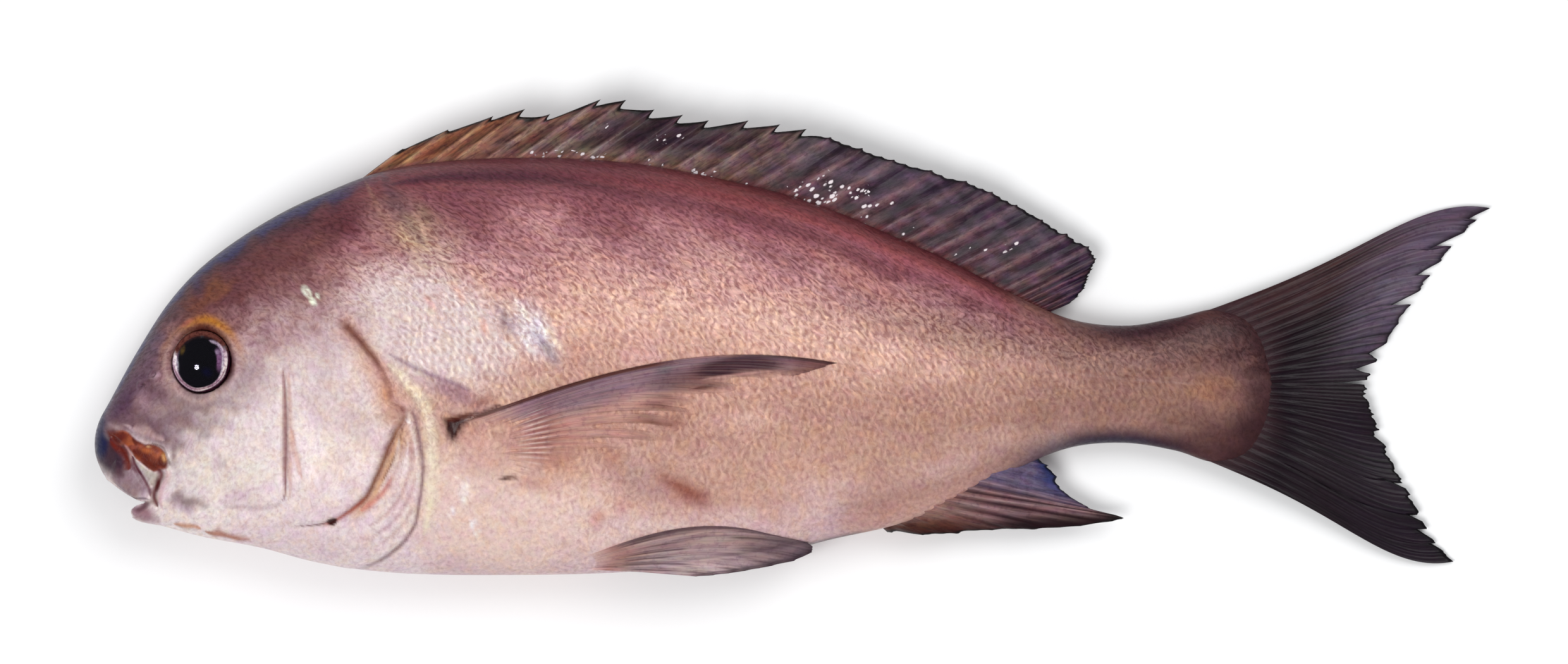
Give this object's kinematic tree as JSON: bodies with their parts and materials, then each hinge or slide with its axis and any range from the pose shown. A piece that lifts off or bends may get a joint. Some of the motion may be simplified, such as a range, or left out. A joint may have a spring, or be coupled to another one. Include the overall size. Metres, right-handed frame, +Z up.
{
  "type": "whole raw fish",
  "caption": "Whole raw sea bream lying on its side, with a deep body, spiny back fin, forked tail and laid-back breast fin.",
  "frame": {"origin": "middle of the outline, on the surface that the fish lies on", "axes": "+X along the fish towards its tail, +Y towards its back, +Z up out of its left side"},
  "size_m": [0.4024, 0.137, 0.0529],
  "materials": {
    "skin": "wet, fine scales",
    "fin": "wet, ribbed",
    "eye": "wet and glassy"
  },
  "bodies": {
    "root": {"fish": "skin", "eye_left": "eye", "eye_right": "eye"}
  },
  "joints": []
}
